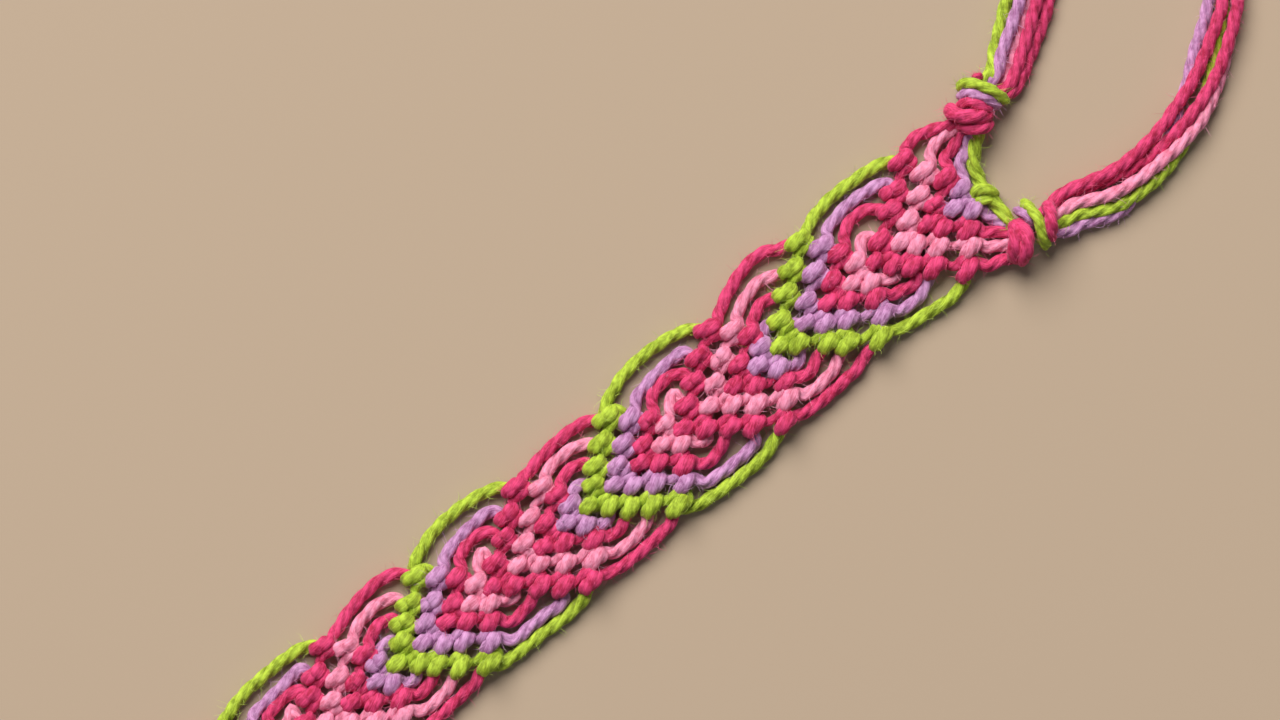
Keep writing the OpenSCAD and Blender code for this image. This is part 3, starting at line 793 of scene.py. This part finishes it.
def bundle(piece, route, place_of):
    """Lays the five strands along the route, on into what holds each end, and returns the route in metres."""
    points, heading = spaced(route)
    count = len(points)
    for name in STRANDS:
        way = []
        for i in range(-1, count + 1):
            j = min(max(i, 0), count - 1)
            outwards, height = place_of(name, j / (count - 1))
            p = points[j] + heading[j] * (i - j) * HELD_STEP
            if i != j:
                outwards *= HELD_SHARE
                height = 0.5 * (height + HELD_Z)
            across = np.array([-heading[j][1], heading[j][0]]) * outwards
            way.append(free(p[0] + across[0], p[1] + across[1], height, BUNDLE_YARN_R))
        piece.add_yarn(shade_of(name), level(way), BUNDLE_RING_STEP)
    return world(points)


def cord(name, node, route, place_of):
    """A bundle as an object of its own."""
    piece = Piece(name, node, "pink_thread")
    path = bundle(piece, route, place_of)
    made = piece.build()


# The points of a turn's upper half, how full its arch is, and how far its ends draw in, as a share of the
# yarn's half thickness
TURN_POINTS = 9
ARCH_POWER = 0.7
TURN_INSET = 0.55


def ring(piece, shade, middle_z, rise, thick, points):
    """One turn of yarn round a bundle: over it through the points, and back below it."""
    points = np.array([(a, c, 0) for c, a in points], float)
    length, fine = along_curve(points, np.zeros((len(points), 1)))
    inset = TURN_INSET * thick / length[-1]
    shares = np.linspace(inset, 1 - inset, TURN_POINTS)
    over = np.stack([np.interp(shares, length / length[-1], fine[:, c]) for c in range(3)], 1)
    heading = np.gradient(over, axis=0)
    side = unit(np.stack([-heading[:, 1], heading[:, 0], np.zeros(TURN_POINTS)], 1))
    arch = rise * np.sin(np.linspace(0, math.pi, TURN_POINTS)) ** ARCH_POWER
    turn = [(p + (0, 0, middle_z + h), s, thick, thick, KNOT_LAY) for p, s, h in zip(over, side, arch)]
    turn += [(p + (0, 0, max(thick, middle_z - h)), s, thick, thick, KNOT_LAY)
             for p, s, h in zip(over, side, arch)][-2:0:-1]
    piece.add_yarn(shade, turn + turn[:2])


# The gathering knots' turns: colour, height of the middle, rise, half thickness, (across, along) points
LEFT_TURNS = [
    ("pink", 1.5, 0.8, 0.32, [(-6.75, -5.28), (-6.67, -5.65), (-6.37, -5.84)]),
    ("green", 1.80, 1.35, 0.46,
     [(-6.85, -3.79), (-6.96, -4.33), (-6.07, -5.16), (-4.93, -5.79), (-3.58, -6.16)]),
    ("lilac", 1.75, 1.20, 0.43,
     [(-6.28, -3.32), (-6.24, -3.99), (-5.45, -4.64), (-4.47, -5.15), (-3.66, -5.43)]),
    ("pink", 1.75, 1.15, 0.46,
     [(-5.80, -2.84), (-5.61, -3.56), (-4.88, -4.17), (-4.17, -4.54), (-3.73, -4.71)]),
    ("pink", 1.80, 1.42, 0.62,
     [(-6.30, -2.35), (-5.68, -2.14), (-4.83, -2.75), (-4.15, -3.57), (-3.57, -4.40)]),
    ("pink", 1.65, 1.10, 0.48,
     [(-4.76, -1.99), (-4.03, -2.25), (-3.35, -2.91), (-3.10, -3.53), (-3.17, -4.12)]),
]
RIGHT_TURNS = [
    ("lilac", 1.5, 1.00, 0.38, [(3.46, -1.11), (4.07, -1.39), (4.79, -1.41), (5.6, -1.2)]),
    ("green", 1.75, 1.20, 0.47, [(3.35, -1.99), (4.30, -2.08), (5.39, -1.93), (6.41, -1.47), (7.50, -1.15)]),
    ("pink", 1.80, 1.35, 0.54, [(4.69, -3.50), (5.57, -2.99), (6.46, -2.38), (7.20, -1.69)]),
    ("pink", 1.74, 1.28, 0.58, [(4.26, -0.46), (4.88, 0.12), (5.68, 0.82), (6.28, 1.35), (6.72, 1.55)]),
    ("pink", 1.78, 1.40, 0.62, [(4.30, -0.55), (5.14, -0.60), (6.15, -0.10), (6.80, 0.73), (6.93, 1.43)]),
]
# The turns of the single knot that starts the band
START_TURNS = [
    ("green", 1.15, 0.62, 0.50, [(0.43, 1.12), (0.31, 0.46), (0.60, -0.25), (1.31, -0.62), (1.75, -0.58)]),
    ("green", 1.05, 0.50, 0.46, [(0.84, 1.00), (1.25, 0.37), (1.68, -0.14), (2.16, -0.13)]),
]
# A plain overhand knot's turns: (colour, place along its axis, lean), and their shape
PLAIN_TURNS = [("green", -1.55, 0.35), ("pink", -0.70, 0.30), ("pink", 0.05, 0.35), ("salmon", 0.80, 0.30),
               ("lilac", 1.50, 0.25)]
PLAIN_HALF_W = 1.35
PLAIN_Z = 1.75
PLAIN_RISE = 1.25
PLAIN_R = 0.43
FAR_KNOT_ALONG = 148.52
# A tie's end knot lies this far past its route. The tails start inside the knot, and those that follow the
# longest are cut shorter by one and by two of the shares.
END_KNOT_REACH = 2.12
TAIL_START = 1.3
TAIL_L = 7.0
TAIL_HIDDEN_L = 0.3
TAIL_TRIM = 0.08
TAIL_R = 0.5
# Their fan is FAN_START to each side at first and grows by FAN_GROWTH. They wave a little, drop to the floor
# early on, and lie at slightly different heights.
FAN_START = 0.55
FAN_GROWTH = 1.5
TAIL_WAVE = 0.25
TAIL_DROP = 0.9
TAIL_DROP_RATE = 2.2
TAIL_LIFT = 0.12


def plain_turns(piece, along, across, heading):
    """Turns of yarn side by side across a bundle that runs along the heading."""
    h = np.array(heading)
    side = np.array([-h[1], h[0]])
    for shade, place, lean in PLAIN_TURNS:
        points = []
        for f in (-1, -0.5, 0, 0.5, 1):
            p = np.array([along, across]) + h * (place + lean * f) + side * PLAIN_HALF_W * f
            points.append((p[1], p[0]))
        ring(piece, shade, PLAIN_Z, PLAIN_RISE, PLAIN_R, points)


def gathering_knot(name, node, turns):
    """The knot that gathers one half of the strands at the band's start."""
    piece = Piece(name, node, "pink_thread")
    for turn in turns:
        ring(piece, *turn)
    piece.build()


def far_knot(side):
    """The knot that gathers the strands of one side at the band's far end."""
    name = SIDE_NAMES[side]
    piece = Piece(name + "_far_turns", name + "_far_knot", "pink_thread")
    plain_turns(piece, FAR_KNOT_ALONG, side * FAR_KNOT_ACROSS, (1, 0))
    piece.build()


def tie_end(side):
    """The knot at the end of a tie, and its five short tails."""
    name = SIDE_NAMES[side]
    piece = Piece(name + "_tie_end", name + "_tie_knot", "pink_thread")
    route = np.array(TIE_ROUTES[side], float)
    h = unit(route[-1] - route[-2])
    end = np.array([TIE_START, side * FAR_KNOT_ACROSS]) + route[-1]
    centre = end + h * END_KNOT_REACH
    plain_turns(piece, *centre, h)
    across = np.array([-h[1], h[0]])
    for i, strand_name in enumerate(STRANDS):
        from_middle = i / 2 - 1
        length = TAIL_L * (1 - TAIL_TRIM * (i % 3)) + TAIL_HIDDEN_L
        way = []
        for f in (0, 0.25, 0.5, 0.75, 1):
            fan = from_middle * (FAN_START + FAN_GROWTH * f)
            wave = TAIL_WAVE * math.sin(3 * f + i)
            height = HELD_Z - TAIL_DROP * min(1, TAIL_DROP_RATE * f) + TAIL_LIFT * (i % 2)
            p = centre + h * (TAIL_START + length * f) + across * (fan + wave)
            way.append(free(p[0], p[1], height, TAIL_R))
        piece.add_yarn(shade_of(strand_name), level(way))
    return piece.build()


def tie(side, end):
    """A tie's strands. end, the object with its end knot and tails, is not used."""
    name = SIDE_NAMES[side]
    route = [(TIE_START + a, side * FAR_KNOT_ACROSS + c) for a, c in TIE_ROUTES[side]]
    cord(name + "_tie_threads", name + "_tie", route, in_tie)


def band_threads(name, node, strand_name, turns=()):
    """The two strands of a kind, one from each gathering knot, and the turns that belong to them."""
    piece = Piece(name, node, node.replace("rows", "thread"))
    for side in (LEFT, RIGHT):
        piece.add_yarn(shade_of(strand_name), strand(strand_name, side))
    for turn in turns:
        ring(piece, *turn)
    piece.build()


add_camera()
cord("closing_loop_threads", "closing_loop", LOOP_ROUTE, in_loop)
for tie_side in (LEFT, RIGHT):
    tie(tie_side, tie_end(tie_side))
gathering_knot("left_gathering_turns", "left_gathering_knot", LEFT_TURNS)
gathering_knot("right_gathering_turns", "right_gathering_knot", RIGHT_TURNS)
for far_side in (LEFT, RIGHT):
    far_knot(far_side)
band_threads("green_threads", "green_rows", "green", START_TURNS)
band_threads("lilac_threads", "lilac_rows", "lilac")
band_threads("inner_pink_threads", "pink_rows", "inner_pink")
band_threads("outer_pink_threads", "pink_rows", "outer_pink")
band_threads("salmon_threads", "salmon_rows", "salmon")
add_surroundings()
